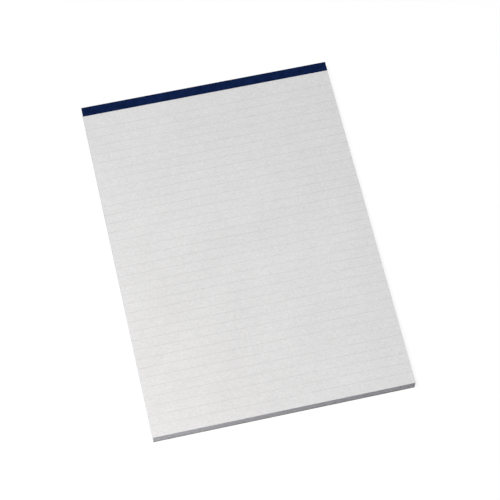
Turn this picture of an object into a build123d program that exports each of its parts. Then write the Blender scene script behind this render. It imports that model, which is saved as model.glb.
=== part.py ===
from build123d import *
import math
import os

# Head-bound ruled pad, lying on its back with the ruled face up. Lengths are in millimetres.
# +X runs across the page to the reader's right, +Y runs up the page to the bound head, +Z is up.
# The origin is on the surface that the pad lies on, under the middle of its outline.

# Sheets: a block of loose leaves, trimmed together on the two sides and the foot.
SHEET_WIDTH = 210.0
SHEET_LENGTH = 297.0
SHEET_THICKNESS = 0.09
SHEET_COUNT = 100

# Cut edges of the sheets: how far a leaf may stand back from the trimmed size, how deep the notch
# between two leaves goes behind that, and how much of a leaf's thickness each of its bevels takes.
TRIM_WANDER = 0.06
LEAF_NOTCH = 0.05
LEAF_BEVEL_SHARE = 0.25

# Angle in radians by which the wander steps from leaf to leaf, and where it starts on each side.
WANDER_STEP = 2.4
LEFT_START = 0.0
RIGHT_START = 2.0
FOOT_START = 4.0

# Grey backing board, of the same outline as the sheets.
BOARD_THICKNESS = 1.2

# Glue film on the head edges of the sheets and the board. Its outer corners are fully rounded.
GLUE_THICKNESS = 0.4

# Binding tape: its laps are measured from the outside of the head. The press that sticks it down
# sinks its back lap a little into the board.
TAPE_THICKNESS = 0.2
TAPE_FRONT_LAP = 8.6
TAPE_BACK_LAP = 8.6
TAPE_NIP = 0.05

# How far a cutting tool runs past what it cuts.
OVERRUN = 1.0

# Levels, from the surface up: the back lap lies on it, and the board hangs over it by what the nip leaves.
back_lap_top = TAPE_THICKNESS
board_bottom = back_lap_top - TAPE_NIP
stack_bottom = board_bottom + BOARD_THICKNESS
stack_height = SHEET_COUNT * SHEET_THICKNESS
stack_top = stack_bottom + stack_height

# Places along the page, from the foot to the outside of the tape.
pad_length = SHEET_LENGTH + GLUE_THICKNESS + TAPE_THICKNESS
foot_y = -pad_length / 2
head_y = foot_y + SHEET_LENGTH
tape_y = pad_length / 2
back_lap_y = tape_y - TAPE_BACK_LAP
front_lap_y = tape_y - TAPE_FRONT_LAP
side_x = SHEET_WIDTH / 2


def cut_edge(trimmed_at, inward, start):
    """Outline of a trimmed side of the stack, from the bottom leaf up, as (place, height) points."""
    bevel = SHEET_THICKNESS * LEAF_BEVEL_SHARE
    notch = trimmed_at + inward * (TRIM_WANDER + LEAF_NOTCH)
    points = []
    for leaf in range(SHEET_COUNT):
        set_back = TRIM_WANDER * (1 + math.sin(start + leaf * WANDER_STEP)) / 2
        edge = trimmed_at + inward * set_back
        low = stack_bottom + leaf * SHEET_THICKNESS
        high = low + SHEET_THICKNESS
        points.append((notch, low))
        points.append((edge, low + bevel))
        points.append((edge, high - bevel))
    points.append((notch, stack_top))
    return points


def make_ruled_sheets():
    """The whole stack as one solid: both sides in one profile, then the foot cut by its own."""
    left = cut_edge(-side_x, 1, LEFT_START)
    right = cut_edge(side_x, -1, RIGHT_START)
    across = make_face(Polyline(*left, *reversed(right), close=True))
    stack = extrude(Plane.XZ.offset(-foot_y) * across, amount=-SHEET_LENGTH)
    foot = cut_edge(foot_y, 1, FOOT_START)
    beyond_y = foot_y - OVERRUN
    notch_y = foot[0][0]
    under = stack_bottom - OVERRUN
    over = stack_top + OVERRUN
    waste = [(beyond_y, under), (notch_y, under), *foot, (notch_y, over), (beyond_y, over)]
    trimming = make_face(Polyline(*waste, close=True))
    return stack - extrude(Plane.YZ * trimming, amount=side_x + OVERRUN, both=True)


def head_fold(stand_off):
    """Side view of the rounded head: back corner, head and front corner, stand_off outside the glue."""
    radius = GLUE_THICKNESS + stand_off
    back = CenterArc((head_y, back_lap_top + GLUE_THICKNESS), radius, -90, 90)
    front = CenterArc((head_y, stack_top - GLUE_THICKNESS), radius, 0, 90)
    return [back, Line(back @ 1, front @ 0), front]


def across_pad(profile):
    """Runs a side-view profile over the whole width of the pad, flush with its trimmed sides."""
    return extrude(Plane.YZ * make_face(profile), amount=side_x, both=True)


def make_backing_board():
    """Greyboard of the sheets' outline, with a shallow band at the head where the tape is pressed in."""
    side_view = Polyline(
        (foot_y, board_bottom),
        (back_lap_y, board_bottom),
        (back_lap_y, back_lap_top),
        (head_y, back_lap_top),
        (head_y, stack_bottom),
        (foot_y, stack_bottom),
        close=True,
    )
    return across_pad(side_view)


def make_head_glue():
    """Film between the head edges and the tape."""
    fold = head_fold(0)
    back, _, front = fold
    return across_pad([*fold, Line(front @ 1, back @ 0)])


def make_binding_tape():
    """One strip folded round the head: back lap, head and front lap."""
    inside = head_fold(0)
    outside = head_fold(TAPE_THICKNESS)
    back_lap = Polyline(
        inside[0] @ 0,
        (back_lap_y, back_lap_top),
        (back_lap_y, 0),
        outside[0] @ 0,
    )
    front_lap = Polyline(
        inside[-1] @ 1,
        (front_lap_y, stack_top),
        (front_lap_y, stack_top + TAPE_THICKNESS),
        outside[-1] @ 1,
    )
    return across_pad([*inside, *outside, *back_lap.edges(), *front_lap.edges()])


pieces = {
    "ruled_sheets": make_ruled_sheets(),
    "backing_board": make_backing_board(),
    "head_glue": make_head_glue(),
    "binding_tape": make_binding_tape(),
}

os.makedirs("parts", exist_ok=True)
for name, piece in pieces.items():
    export_step(piece, f"parts/{name}.step")
    print(name, "volume", round(piece.volume, 1), "size", piece.bounding_box().size)
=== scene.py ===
# %% [markdown]
# A head-bound writing pad, dressed for its portrait.
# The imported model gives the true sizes: a block of sheets, a grey board under it, a film of glue on the
# head edges and a navy tape folded over them. This lesson keeps the three pieces whose shape is already
# right, lays the block out again as single leaves, prints the ruling, and gives each surface its finish.

# %% Load the frame
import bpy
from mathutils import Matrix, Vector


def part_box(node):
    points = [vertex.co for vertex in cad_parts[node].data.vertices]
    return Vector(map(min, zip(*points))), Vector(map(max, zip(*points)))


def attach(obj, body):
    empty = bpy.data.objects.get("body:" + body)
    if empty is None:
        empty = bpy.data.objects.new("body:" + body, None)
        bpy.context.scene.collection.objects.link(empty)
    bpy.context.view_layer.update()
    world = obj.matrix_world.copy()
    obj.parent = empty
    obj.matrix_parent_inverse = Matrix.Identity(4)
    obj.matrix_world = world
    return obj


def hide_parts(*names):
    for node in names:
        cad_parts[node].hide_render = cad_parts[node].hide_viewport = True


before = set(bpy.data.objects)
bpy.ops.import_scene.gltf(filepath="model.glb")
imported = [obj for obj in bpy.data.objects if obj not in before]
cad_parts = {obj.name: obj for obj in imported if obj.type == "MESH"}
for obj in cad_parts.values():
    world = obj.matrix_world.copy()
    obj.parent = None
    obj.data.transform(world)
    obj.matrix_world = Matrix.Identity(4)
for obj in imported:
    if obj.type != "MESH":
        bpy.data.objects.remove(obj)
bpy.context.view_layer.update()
print("nodes:", sorted(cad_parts))

# %% Modules and the unit
import math
import random

import bmesh
import bpy
from mathutils import Matrix, Vector

MM = 0.001
print("Blender", bpy.app.version_string, "counts in metres, so a millimetre is", MM)

# %% [markdown]
# Where things are.
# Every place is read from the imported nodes, so nothing is typed twice. The page faces +Z, its head is
# towards +Y, and the reader sits on the -Y side.

# %% Places read from the frame
sheets_low, sheets_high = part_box("ruled_sheets")
_, tape_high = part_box("binding_tape")
page_top = sheets_high.z
page_size = sheets_high - sheets_low
print("sheets, in mm:", [round(c / MM, 2) for c in page_size], "top at", round(page_top / MM, 2))

# %% [markdown]
# The camera.
# A pad is photographed from the foot, a little to its left and steeply from above, through a long lens
# that keeps the sides of the page nearly parallel. These values put the four corners of the page where
# the photograph has them. The camera's axes are built from two angles, and then turned by a small roll.

# %% Camera
CAMERA_AZIMUTH = math.radians(-15.0)
CAMERA_ELEVATION = math.radians(65.1)
CAMERA_ROLL = math.radians(2.35)
CAMERA_DISTANCE = 1513.5 * MM
CAMERA_AIM = Vector((3.71 * MM, -9.15 * MM, page_top))
LENS_MM = 134.89


def add_camera():
    flat = math.cos(CAMERA_ELEVATION)
    back = Vector((
        math.sin(CAMERA_AZIMUTH) * flat,
        -math.cos(CAMERA_AZIMUTH) * flat,
        math.sin(CAMERA_ELEVATION),
    ))
    level = Vector((math.cos(CAMERA_AZIMUTH), math.sin(CAMERA_AZIMUTH), 0))
    right = Matrix.Rotation(CAMERA_ROLL, 3, back) @ level
    turn = Matrix((right, back.cross(right), back)).transposed()
    lens = bpy.data.cameras.new("portrait_camera")
    lens.lens = LENS_MM
    made = bpy.data.objects.new("portrait_camera", lens)
    made.matrix_world = Matrix.Translation(CAMERA_AIM + back * CAMERA_DISTANCE) @ turn.to_4x4()
    bpy.context.scene.collection.objects.link(made)
    return made


camera = add_camera()
bpy.context.scene.camera = camera
print("camera at", [round(c, 3) for c in camera.matrix_world.translation])

# %% [markdown]
# Colours.
# They are written as the sRGB hex values that a painter would pick. Shaders add and multiply amounts of
# light, so one function makes the values linear first.

# %% Colours in linear light


def linear(hex_code):
    channels = [int(hex_code[i:i + 2], 16) / 255 for i in (1, 3, 5)]
    return [c / 12.92 if c <= 0.04045 else ((c + 0.055) / 1.055) ** 2.4 for c in channels] + [1.0]


print("the grey #808080 sends back", round(linear("#808080")[0], 3), "of the light")

# %% [markdown]
# Nodes.
# One function adds a node, sets it and links it, so that a material reads as a list of what it is made of.
# Another lays a pattern over two close tones. Noise keeps near the middle of its range, so only that part,
# its spread, runs from the first tone to the second. A Mix node calls its inputs A and B for every kind of
# value that it can mix, so its colours are reached by number.

# %% Node helpers
COLOUR_A = 6
COLOUR_B = 7
COLOUR_RESULT = 2


def add_node(tree, kind, inputs=None, **settings):
    node = tree.nodes.new(kind)
    for name, value in settings.items():
        setattr(node, name, value)
    for name, value in (inputs or {}).items():
        if isinstance(value, bpy.types.NodeSocket):
            tree.links.new(value, node.inputs[name])
        else:
            node.inputs[name].default_value = value
    return node


def start_material(name):
    material = bpy.data.materials.new(name)
    material.use_nodes = True
    material.node_tree.nodes.clear()
    print("finish:", name)
    return material, material.node_tree


def two_tones(tree, pattern, spread, first, second):
    share = add_node(tree, "ShaderNodeMapRange", {
        "Value": pattern, "From Min": spread[0], "From Max": spread[1],
    })
    mixed = add_node(tree, "ShaderNodeMix", {
        "Factor": share.outputs["Result"], COLOUR_A: linear(first), COLOUR_B: linear(second),
    }, data_type="RGBA")
    return mixed.outputs[COLOUR_RESULT]


print("colours of a Mix node: inputs", COLOUR_A, "and", COLOUR_B, "and output", COLOUR_RESULT)

# %% [markdown]
# Writing paper.
# Uncoated paper is matt and nearly neutral, and its surface has a tooth that a pen can feel. It is faintly
# cloudy, partly because its fibres settle in clumps, and partly by painted shade: the sheet dries in
# patches of a few centimetres and lies in faint waves, whose light and dark are painted into its colour.
# The clouds are one noise that is almost as strong in its fine octaves as in its coarse ones. A second
# noise is the grain of the clumps, and the mix of both runs over two close whites. The tooth is a bump as
# deep as a fibre is thick: too fine for the portrait, it is there for close views.

# %% Paper
CLOUD_SIZE = 50 * MM
CLOUD_OCTAVES = 5.0
CLOUD_FINE_SHARE = 0.85
CLUMP_SIZE = 2 * MM
CLUMP_OCTAVES = 1.0
CLUMP_SHARE = 0.55
PAPER_SPREAD = (0.2, 0.8)
TOOTH_SIZE = 0.3 * MM
TOOTH_OCTAVES = 2.0
TOOTH_DEPTH = 0.004 * MM


def make_paper():
    material, tree = start_material("uncoated_writing_paper")
    place = add_node(tree, "ShaderNodeTexCoord").outputs["Object"]
    # the clouds: real tone of the fibre, with painted shade of the sheet's faint waves
    clouds = add_node(tree, "ShaderNodeTexNoise", {
        "Vector": place,
        "Scale": 1 / CLOUD_SIZE,
        "Detail": CLOUD_OCTAVES,
        "Roughness": CLOUD_FINE_SHARE,
    })
    clumps = add_node(tree, "ShaderNodeTexNoise", {
        "Vector": place, "Scale": 1 / CLUMP_SIZE, "Detail": CLUMP_OCTAVES,
    })
    mottle = add_node(tree, "ShaderNodeMix", {
        "Factor": CLUMP_SHARE, "A": clouds.outputs["Fac"], "B": clumps.outputs["Fac"],
    })
    tooth = add_node(tree, "ShaderNodeTexNoise", {
        "Vector": place, "Scale": 1 / TOOTH_SIZE, "Detail": TOOTH_OCTAVES,
    })
    bump = add_node(tree, "ShaderNodeBump", {"Height": tooth.outputs["Fac"], "Distance": TOOTH_DEPTH})
    surface = add_node(tree, "ShaderNodeBsdfPrincipled", {
        "Base Color": two_tones(tree, mottle.outputs["Result"], PAPER_SPREAD, "#DEDDDD", "#F4F4F4"),
        "Roughness": 0.92,
        "Specular IOR Level": 0.2,
        "Normal": bump.outputs["Normal"],
    })
    add_node(tree, "ShaderNodeOutputMaterial", {"Surface": surface.outputs["BSDF"]})
    return material


paper = make_paper()

# %% [markdown]
# Cut paper.
# The guillotine leaves the edges of the leaves rougher than the page. Both of their colours are painted a
# shade cooler and greyer than the page: painted shade for the light that is lost between the leaves. No
# two leaves are quite alike, so each carries a tone of its own in an attribute. Where a bunch of leaves
# lies tighter, less shade falls between them, and that painted shade is a streak running along the edge.
# Single leaves are too thin to show in the portrait, so the streaks are drawn as coarse as a bunch of five.

# %% Cut edges of the paper
LEAF_TONE = "leaf_tone"
STREAK_LENGTH = 60 * MM
STREAK_HEIGHT = 0.45 * MM
STREAK_OCTAVES = 2.0
STREAK_SPREAD = (0.35, 0.65)
STREAK_SHARE = 0.6


def make_cut_paper():
    material, tree = start_material("guillotined_paper_edge")
    place = add_node(tree, "ShaderNodeTexCoord").outputs["Object"]
    stretched = add_node(tree, "ShaderNodeMapping", {
        "Vector": place,
        "Scale": (1 / STREAK_LENGTH, 1 / STREAK_LENGTH, 1 / STREAK_HEIGHT),
    })
    streaks = add_node(tree, "ShaderNodeTexNoise", {
        "Vector": stretched.outputs["Vector"], "Scale": 1.0, "Detail": STREAK_OCTAVES,
    })
    # painted shade: the streaks are the shade of looser and tighter bunches of leaves
    bunch = add_node(tree, "ShaderNodeMapRange", {
        "Value": streaks.outputs["Fac"], "From Min": STREAK_SPREAD[0], "From Max": STREAK_SPREAD[1],
    })
    tone = add_node(tree, "ShaderNodeAttribute", attribute_name=LEAF_TONE)
    mixed = add_node(tree, "ShaderNodeMix", {
        "Factor": STREAK_SHARE, "A": tone.outputs["Fac"], "B": bunch.outputs["Result"],
    })
    # painted shade: both colours are cooler and greyer than the page for the light lost between leaves
    colour = add_node(tree, "ShaderNodeMix", {
        "Factor": mixed.outputs["Result"],
        COLOUR_A: linear("#D6D9E1"),
        COLOUR_B: linear("#EDF0F6"),
    }, data_type="RGBA")
    surface = add_node(tree, "ShaderNodeBsdfPrincipled", {
        "Base Color": colour.outputs[COLOUR_RESULT],
        "Roughness": 0.95,
        "Specular IOR Level": 0.0,
    })
    add_node(tree, "ShaderNodeOutputMaterial", {"Surface": surface.outputs["BSDF"]})
    return material


cut_paper = make_cut_paper()

# %% [markdown]
# One leaf.
# On the real pad every sheet is loose from its neighbours except at the head. A single block with lines
# painted on its side would do from afar, but its edge would stay a smooth wall in close views. Here each
# leaf is a thin box, a little out of line with the others and never quite filling its share of the
# height. The draws come from one seeded source, so the pad is the same each time.

# %% One leaf after another
LEAF_PITCH = 0.09 * MM
TRIM_WANDER = 0.06 * MM
LEAF_FILL_LEAST = 0.92
LEAF_FILL_MOST = 0.985
LEAF_SEED = 11

leaf_count = round(page_size.z / LEAF_PITCH)
leaf_draw = random.Random(LEAF_SEED)


def add_leaf(bm, number):
    left = sheets_low.x + leaf_draw.uniform(0, TRIM_WANDER)
    right = sheets_high.x - leaf_draw.uniform(0, TRIM_WANDER)
    foot = sheets_low.y + leaf_draw.uniform(0, TRIM_WANDER)
    top = sheets_low.z + (number + 1) * LEAF_PITCH
    bottom = top - LEAF_PITCH * leaf_draw.uniform(LEAF_FILL_LEAST, LEAF_FILL_MOST)
    low = Vector((left, foot, bottom))
    high = Vector((right, sheets_high.y, top))
    corners = bmesh.ops.create_cube(bm, size=1)["verts"]
    bmesh.ops.scale(bm, vec=high - low, verts=corners)
    bmesh.ops.translate(bm, vec=(low + high) / 2, verts=corners)
    tone = leaf_draw.random()
    for face in {face for corner in corners for face in corner.link_faces}:
        face[bm.faces.layers.float[LEAF_TONE]] = tone


print("leaves:", leaf_count)

# %% [markdown]
# A finished piece.
# It is a mesh whose place is in its vertices, on an object at the origin. It rides on the pad's only body.

# %% From a bmesh to a piece of the pad


def finish_piece(name, bm, materials):
    mesh = bpy.data.meshes.new(name)
    bm.to_mesh(mesh)
    bm.free()
    for material in materials:
        mesh.materials.append(material)
    piece = bpy.data.objects.new(name, mesh)
    bpy.context.scene.collection.objects.link(piece)
    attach(piece, "root")
    print(name, "has", len(mesh.polygons), "faces")
    return piece


print("ready for the leaves:", paper.name, "and", cut_paper.name)

# %% [markdown]
# All the leaves.
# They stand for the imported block. A fine bevel takes the sharpness off their edges. The top sheet shows
# its page and its edges, so it has two finishes. The leaves below show their edges alone and wear the cut
# finish all over: an edge thinner than a pixel of an exported map takes the colour of the face next to it.

# %% Leaf block and top sheet
LEAF_BEVEL = 0.02 * MM
LEVEL_ENOUGH = 0.9


def make_leaves(name, numbers, finishes):
    bm = bmesh.new()
    bm.faces.layers.float.new(LEAF_TONE)
    for number in numbers:
        add_leaf(bm, number)
    bmesh.ops.bevel(
        bm, geom=bm.edges[:], offset=LEAF_BEVEL, offset_type="OFFSET",
        affect="EDGES", segments=1, profile=0.5, material=-1, clamp_overlap=True,
    )
    bm.normal_update()
    for face in bm.faces:
        face.material_index = 0 if abs(face.normal.z) > LEVEL_ENOUGH else len(finishes) - 1
    piece = finish_piece(name, bm, finishes)
    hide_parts("ruled_sheets")


make_leaves("leaf_block", range(leaf_count - 1), [cut_paper])
make_leaves("top_sheet", range(leaf_count - 1, leaf_count), [paper, cut_paper])

# %% [markdown]
# Ruling ink.
# Feint ruling is a thin, pale grey ink that sinks into the paper, so it is as matt as the page. It doesn't
# wet the sheet evenly: along each line it gets paler and darker, over a few millimetres and over a few
# centimetres. One noise with many octaves gives that density.

# %% Ink
INK_PATCH = 40 * MM
INK_OCTAVES = 5.0
INK_FINE_SHARE = 0.9
INK_SPREAD = (0.3, 0.7)


def make_ink():
    material, tree = start_material("pale_grey_ruling_ink")
    place = add_node(tree, "ShaderNodeTexCoord").outputs["Object"]
    patches = add_node(tree, "ShaderNodeTexNoise", {
        "Vector": place,
        "Scale": 1 / INK_PATCH,
        "Detail": INK_OCTAVES,
        "Roughness": INK_FINE_SHARE,
    })
    surface = add_node(tree, "ShaderNodeBsdfPrincipled", {
        "Base Color": two_tones(tree, patches.outputs["Fac"], INK_SPREAD, "#C8C7C7", "#E5E5E5"),
        "Roughness": 0.9,
        "Specular IOR Level": 0.2,
    })
    add_node(tree, "ShaderNodeOutputMaterial", {"Surface": surface.outputs["BSDF"]})
    return material


ink = make_ink()

# %% [markdown]
# The ruling.
# The lines run over the whole width of the page, a little over 8 mm apart, from well below the tape
# to a little more than one pitch above the foot. A painted pattern on the page would blur when the model
# is exported, so each line is a film of its own, let into the paper by half its thickness. Real ink has
# no height to speak of: the film stands out just far enough to stay clear of the page in any viewer.

# %% Ruled lines
RULE_PITCH = 8.056 * MM
RULE_BELOW_HEAD = 21.9 * MM
RULE_ABOVE_FOOT = 9 * MM
RULE_WIDTH = 0.3 * MM
INK_FILM = 0.04 * MM


def make_ruling():
    bm = bmesh.new()
    film = Vector((page_size.x - 2 * (TRIM_WANDER + LEAF_BEVEL), RULE_WIDTH, INK_FILM))
    first = tape_high.y - RULE_BELOW_HEAD
    last = sheets_low.y + RULE_ABOVE_FOOT
    count = 1 + int((first - last) / RULE_PITCH)
    for line in range(count):
        corners = bmesh.ops.create_cube(bm, size=1)["verts"]
        bmesh.ops.scale(bm, vec=film, verts=corners)
        bmesh.ops.translate(bm, vec=(0, first - line * RULE_PITCH, page_top), verts=corners)
    print("ruled lines:", count)
    finish_piece("ruling", bm, [ink])


make_ruling()

# %% [markdown]
# Binding tape.
# The tape is dyed paper with a linen grain pressed into it. The grain is two sets of ribs, one across the
# strip and one along it. Down the head the strip runs in Z and on its laps in Y, so the ribs follow Y
# minus Z, which keeps its count round the folds. The dye takes a little unevenly. The sheen is low, or
# the bright surroundings would turn the navy grey.

# %% Navy tape
RIB_PITCH = 0.45 * MM
RIB_DEPTH = 0.015 * MM
DYE_CLOUD = 4 * MM
DYE_OCTAVES = 4.0
DYE_SPREAD = (0.3, 0.7)


def make_tape_finish():
    material, tree = start_material("linen_grained_navy_tape")
    place = add_node(tree, "ShaderNodeTexCoord").outputs["Object"]
    axis = add_node(tree, "ShaderNodeSeparateXYZ", {"Vector": place})
    along = add_node(tree, "ShaderNodeMath", {
        0: axis.outputs["Y"], 1: axis.outputs["Z"],
    }, operation="SUBTRACT")
    ribs = []
    for run in (axis.outputs["X"], along.outputs["Value"]):
        phase = add_node(tree, "ShaderNodeMath", {0: run, 1: math.tau / RIB_PITCH}, operation="MULTIPLY")
        ribs.append(add_node(tree, "ShaderNodeMath", {0: phase.outputs["Value"]}, operation="SINE"))
    grain = add_node(tree, "ShaderNodeMath", {
        0: ribs[0].outputs["Value"], 1: ribs[1].outputs["Value"],
    }, operation="MULTIPLY")
    bump = add_node(tree, "ShaderNodeBump", {"Height": grain.outputs["Value"], "Distance": RIB_DEPTH})
    dye = add_node(tree, "ShaderNodeTexNoise", {
        "Vector": place, "Scale": 1 / DYE_CLOUD, "Detail": DYE_OCTAVES,
    })
    surface = add_node(tree, "ShaderNodeBsdfPrincipled", {
        "Base Color": two_tones(tree, dye.outputs["Fac"], DYE_SPREAD, "#0A193D", "#13244E"),
        "Roughness": 0.65,
        "Specular IOR Level": 0.05,
        "Normal": bump.outputs["Normal"],
    })
    add_node(tree, "ShaderNodeOutputMaterial", {"Surface": surface.outputs["BSDF"]})
    return material


tape_finish = make_tape_finish()

# %% [markdown]
# Greyboard.
# The back is unlined board made from waste paper: a felted grey with dark flecks of fibre, built up from
# plies that show as streaks on its cut edges. The felt and the flecks are two noises of different size,
# and the finer one also roughens the surface. A third one, long in the board's plane and thin through it,
# gives the plies.

# %% Greyboard
FELT_SIZE = 4 * MM
FELT_OCTAVES = 5.0
PLY_LENGTH = 25 * MM
PLY_HEIGHT = 0.25 * MM
PLY_OCTAVES = 2.0
PLY_SHARE = 0.4
BOARD_SPREAD = (0.3, 0.7)
FLECK_SIZE = 0.8 * MM
FLECK_OCTAVES = 3.0
FLECK_SPREAD = (0.64, 0.72)
FLECK_DEPTH = 0.03 * MM


def make_greyboard():
    material, tree = start_material("unlined_recycled_greyboard")
    place = add_node(tree, "ShaderNodeTexCoord").outputs["Object"]
    felt = add_node(tree, "ShaderNodeTexNoise", {
        "Vector": place, "Scale": 1 / FELT_SIZE, "Detail": FELT_OCTAVES,
    })
    layered = add_node(tree, "ShaderNodeMapping", {
        "Vector": place,
        "Scale": (1 / PLY_LENGTH, 1 / PLY_LENGTH, 1 / PLY_HEIGHT),
    })
    plies = add_node(tree, "ShaderNodeTexNoise", {
        "Vector": layered.outputs["Vector"], "Scale": 1.0, "Detail": PLY_OCTAVES,
    })
    mottle = add_node(tree, "ShaderNodeMix", {
        "Factor": PLY_SHARE, "A": felt.outputs["Fac"], "B": plies.outputs["Fac"],
    })
    flecks = add_node(tree, "ShaderNodeTexNoise", {
        "Vector": place, "Scale": 1 / FLECK_SIZE, "Detail": FLECK_OCTAVES,
    })
    dark = add_node(tree, "ShaderNodeMapRange", {
        "Value": flecks.outputs["Fac"], "From Min": FLECK_SPREAD[0], "From Max": FLECK_SPREAD[1],
    })
    colour = add_node(tree, "ShaderNodeMix", {
        "Factor": dark.outputs["Result"],
        COLOUR_A: two_tones(tree, mottle.outputs["Result"], BOARD_SPREAD, "#918E89", "#A9A6A0"),
        COLOUR_B: linear("#6B6864"),
    }, data_type="RGBA")
    bump = add_node(tree, "ShaderNodeBump", {"Height": flecks.outputs["Fac"], "Distance": FLECK_DEPTH})
    surface = add_node(tree, "ShaderNodeBsdfPrincipled", {
        "Base Color": colour.outputs[COLOUR_RESULT],
        "Roughness": 0.95,
        "Specular IOR Level": 0.05,
        "Normal": bump.outputs["Normal"],
    })
    add_node(tree, "ShaderNodeOutputMaterial", {"Surface": surface.outputs["BSDF"]})
    return material


greyboard = make_greyboard()

# %% [markdown]
# Padding glue.
# The glue on the head dries to a flexible, off-white film with the drag marks of the brush in it. Only
# its two ends show. The marks are a noise stretched along the head.

# %% Dried glue
BRUSH_LENGTH = 8 * MM
BRUSH_WIDTH = 0.6 * MM
BRUSH_OCTAVES = 3.0
BRUSH_DEPTH = 0.05 * MM


def make_glue():
    material, tree = start_material("dried_padding_glue")
    place = add_node(tree, "ShaderNodeTexCoord").outputs["Object"]
    dragged = add_node(tree, "ShaderNodeMapping", {
        "Vector": place,
        "Scale": (1 / BRUSH_LENGTH, 1 / BRUSH_WIDTH, 1 / BRUSH_WIDTH),
    })
    marks = add_node(tree, "ShaderNodeTexNoise", {
        "Vector": dragged.outputs["Vector"], "Scale": 1.0, "Detail": BRUSH_OCTAVES,
    })
    colour = add_node(tree, "ShaderNodeMix", {
        "Factor": marks.outputs["Fac"],
        COLOUR_A: linear("#D9D4C4"),
        COLOUR_B: linear("#EAE6DA"),
    }, data_type="RGBA")
    bump = add_node(tree, "ShaderNodeBump", {"Height": marks.outputs["Fac"], "Distance": BRUSH_DEPTH})
    surface = add_node(tree, "ShaderNodeBsdfPrincipled", {
        "Base Color": colour.outputs[COLOUR_RESULT],
        "Roughness": 0.45,
        "IOR": 1.47,
        "Normal": bump.outputs["Normal"],
    })
    add_node(tree, "ShaderNodeOutputMaterial", {"Surface": surface.outputs["BSDF"]})
    return material


glue = make_glue()

# %% [markdown]
# The kept pieces.
# The board, the glue and the tape already have their true form, so they stay as they were packed and only
# take on their finishes.

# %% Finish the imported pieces
for node, finish in {"backing_board": greyboard, "head_glue": glue, "binding_tape": tape_finish}.items():
    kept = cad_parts[node]
    kept.data.materials.clear()
    kept.data.materials.append(finish)
    print(node, "wears", finish.name)

# %% [markdown]
# The floor.
# The photograph stands on pure white. The camera sees the floor as white because most of what it sends
# out is its own, and a small diffuse share is left for the pad's shadow. To the pad itself the floor is
# a plain grey surface, so that it doesn't light the foot edge from below. What tells the two apart is the
# kind of ray: the camera's own rays, and those off a gloss or through glass, are shown the white.

# %% Floor finish
FLOOR_GLOW = 0.9


def is_shown(tree):
    path = add_node(tree, "ShaderNodeLightPath")
    mirrored = add_node(tree, "ShaderNodeMath", {
        0: path.outputs["Is Camera Ray"], 1: path.outputs["Is Glossy Ray"],
    }, operation="MAXIMUM")
    shown = add_node(tree, "ShaderNodeMath", {
        0: mirrored.outputs["Value"], 1: path.outputs["Is Transmission Ray"],
    }, operation="MAXIMUM")
    return shown.outputs["Value"]


def make_floor_finish():
    material, tree = start_material("white_studio_floor")
    bounce = add_node(tree, "ShaderNodeBsdfDiffuse", {"Color": linear("#808080")})
    shade = add_node(tree, "ShaderNodeBsdfDiffuse", {"Color": linear("#646464")})
    glow = add_node(tree, "ShaderNodeEmission", {"Strength": FLOOR_GLOW})
    white = add_node(tree, "ShaderNodeAddShader", {0: glow.outputs[0], 1: shade.outputs[0]})
    surface = add_node(tree, "ShaderNodeMixShader", {
        0: is_shown(tree), 1: bounce.outputs[0], 2: white.outputs[0],
    })
    add_node(tree, "ShaderNodeOutputMaterial", {"Surface": surface.outputs[0]})
    return material


floor_finish = make_floor_finish()

# %% Floor
FLOOR_SIZE = 12.0
FLOOR_DROP = 0.02 * MM


def make_floor():
    bm = bmesh.new()
    bmesh.ops.create_grid(bm, x_segments=1, y_segments=1, size=FLOOR_SIZE / 2)
    bmesh.ops.translate(bm, vec=(0, 0, -FLOOR_DROP), verts=bm.verts[:])
    mesh = bpy.data.meshes.new("studio_floor")
    bm.to_mesh(mesh)
    bm.free()
    mesh.materials.append(floor_finish)
    made = bpy.data.objects.new("studio_floor", mesh)
    bpy.context.scene.collection.objects.link(made)
    print(made.name, "is", FLOOR_SIZE, "m wide")


make_floor()

# %% [markdown]
# The lamps.
# A soft panel high above, a little to the reader's left, lights the page. A small lamp stands low at the
# left: it grazes the page, which gets brighter towards its lower left corner, and lights the foot edge.
# Another stands far back at the right, so low that the page hardly sees it. It keeps the far edges of the
# pad from sinking into the dark.

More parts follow.
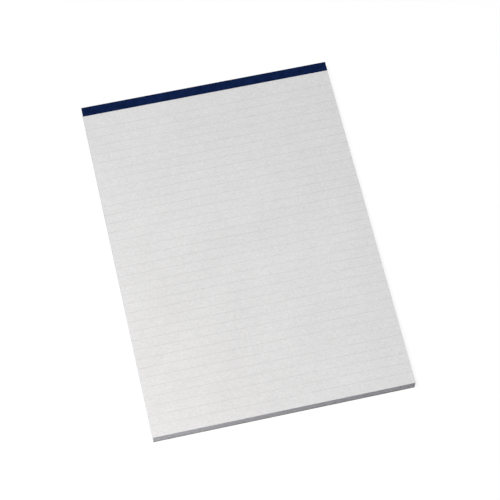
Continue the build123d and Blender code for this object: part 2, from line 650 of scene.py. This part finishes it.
# %% Lamps
PANEL_PLACE = Vector((-0.6, -0.3, 2.0))
PANEL_WIDTH = 0.5
PANEL_WATTS = 36.0
LAMP_WIDTH = 0.2
SIDE_LAMP_PLACE = Vector((-0.45, -0.35, 0.15))
SIDE_LAMP_WATTS = 0.91
BACK_LAMP_PLACE = Vector((0.9, 0.8, 0.1))
BACK_LAMP_WATTS = 4.5


def add_lamp(name, place, aim, width, watts, tint):
    light = bpy.data.lights.new(name, "AREA")
    light.shape = "SQUARE"
    light.size = width
    light.energy = watts
    light.color = linear(tint)[:3]
    lamp = bpy.data.objects.new(name, light)
    lamp.location = place
    lamp.rotation_mode = "QUATERNION"
    lamp.rotation_quaternion = (aim - place).to_track_quat("-Z", "Y")
    lamp.visible_camera = False
    lamp.visible_glossy = False
    bpy.context.scene.collection.objects.link(lamp)
    print(name, "gives", watts, "W")


page_middle = Vector((0, 0, page_top))
add_lamp("overhead_panel", PANEL_PLACE, page_middle, PANEL_WIDTH, PANEL_WATTS, "#FFFFFF")
add_lamp("low_side_lamp", SIDE_LAMP_PLACE, page_middle, LAMP_WIDTH, SIDE_LAMP_WATTS, "#FFF6F0")
add_lamp("low_back_lamp", BACK_LAMP_PLACE, page_middle, LAMP_WIDTH, BACK_LAMP_WATTS, "#FFFFFF")

# %% [markdown]
# The surroundings.
# They add a little cool light, which fills the shadows, and like the floor they are shown as white. A
# strength of 1 is white as long as the view transform leaves the colours alone, as Standard does.

# %% Surroundings
FILL_STRENGTH = 0.036
WHITE_STRENGTH = 1.0


def light_surroundings():
    world = bpy.data.worlds.new("white_surroundings")
    world.use_nodes = True
    tree = world.node_tree
    tree.nodes.clear()
    fill = add_node(tree, "ShaderNodeBackground", {"Color": linear("#F2F6FF"), "Strength": FILL_STRENGTH})
    white = add_node(tree, "ShaderNodeBackground", {"Color": linear("#FFFFFF"), "Strength": WHITE_STRENGTH})
    sky = add_node(tree, "ShaderNodeMixShader", {
        0: is_shown(tree), 1: fill.outputs[0], 2: white.outputs[0],
    })
    add_node(tree, "ShaderNodeOutputWorld", {"Surface": sky.outputs[0]})
    bpy.context.scene.world = world
    print(world.name, "give a fill of", FILL_STRENGTH)


light_surroundings()
bpy.context.scene.view_settings.view_transform = "Standard"
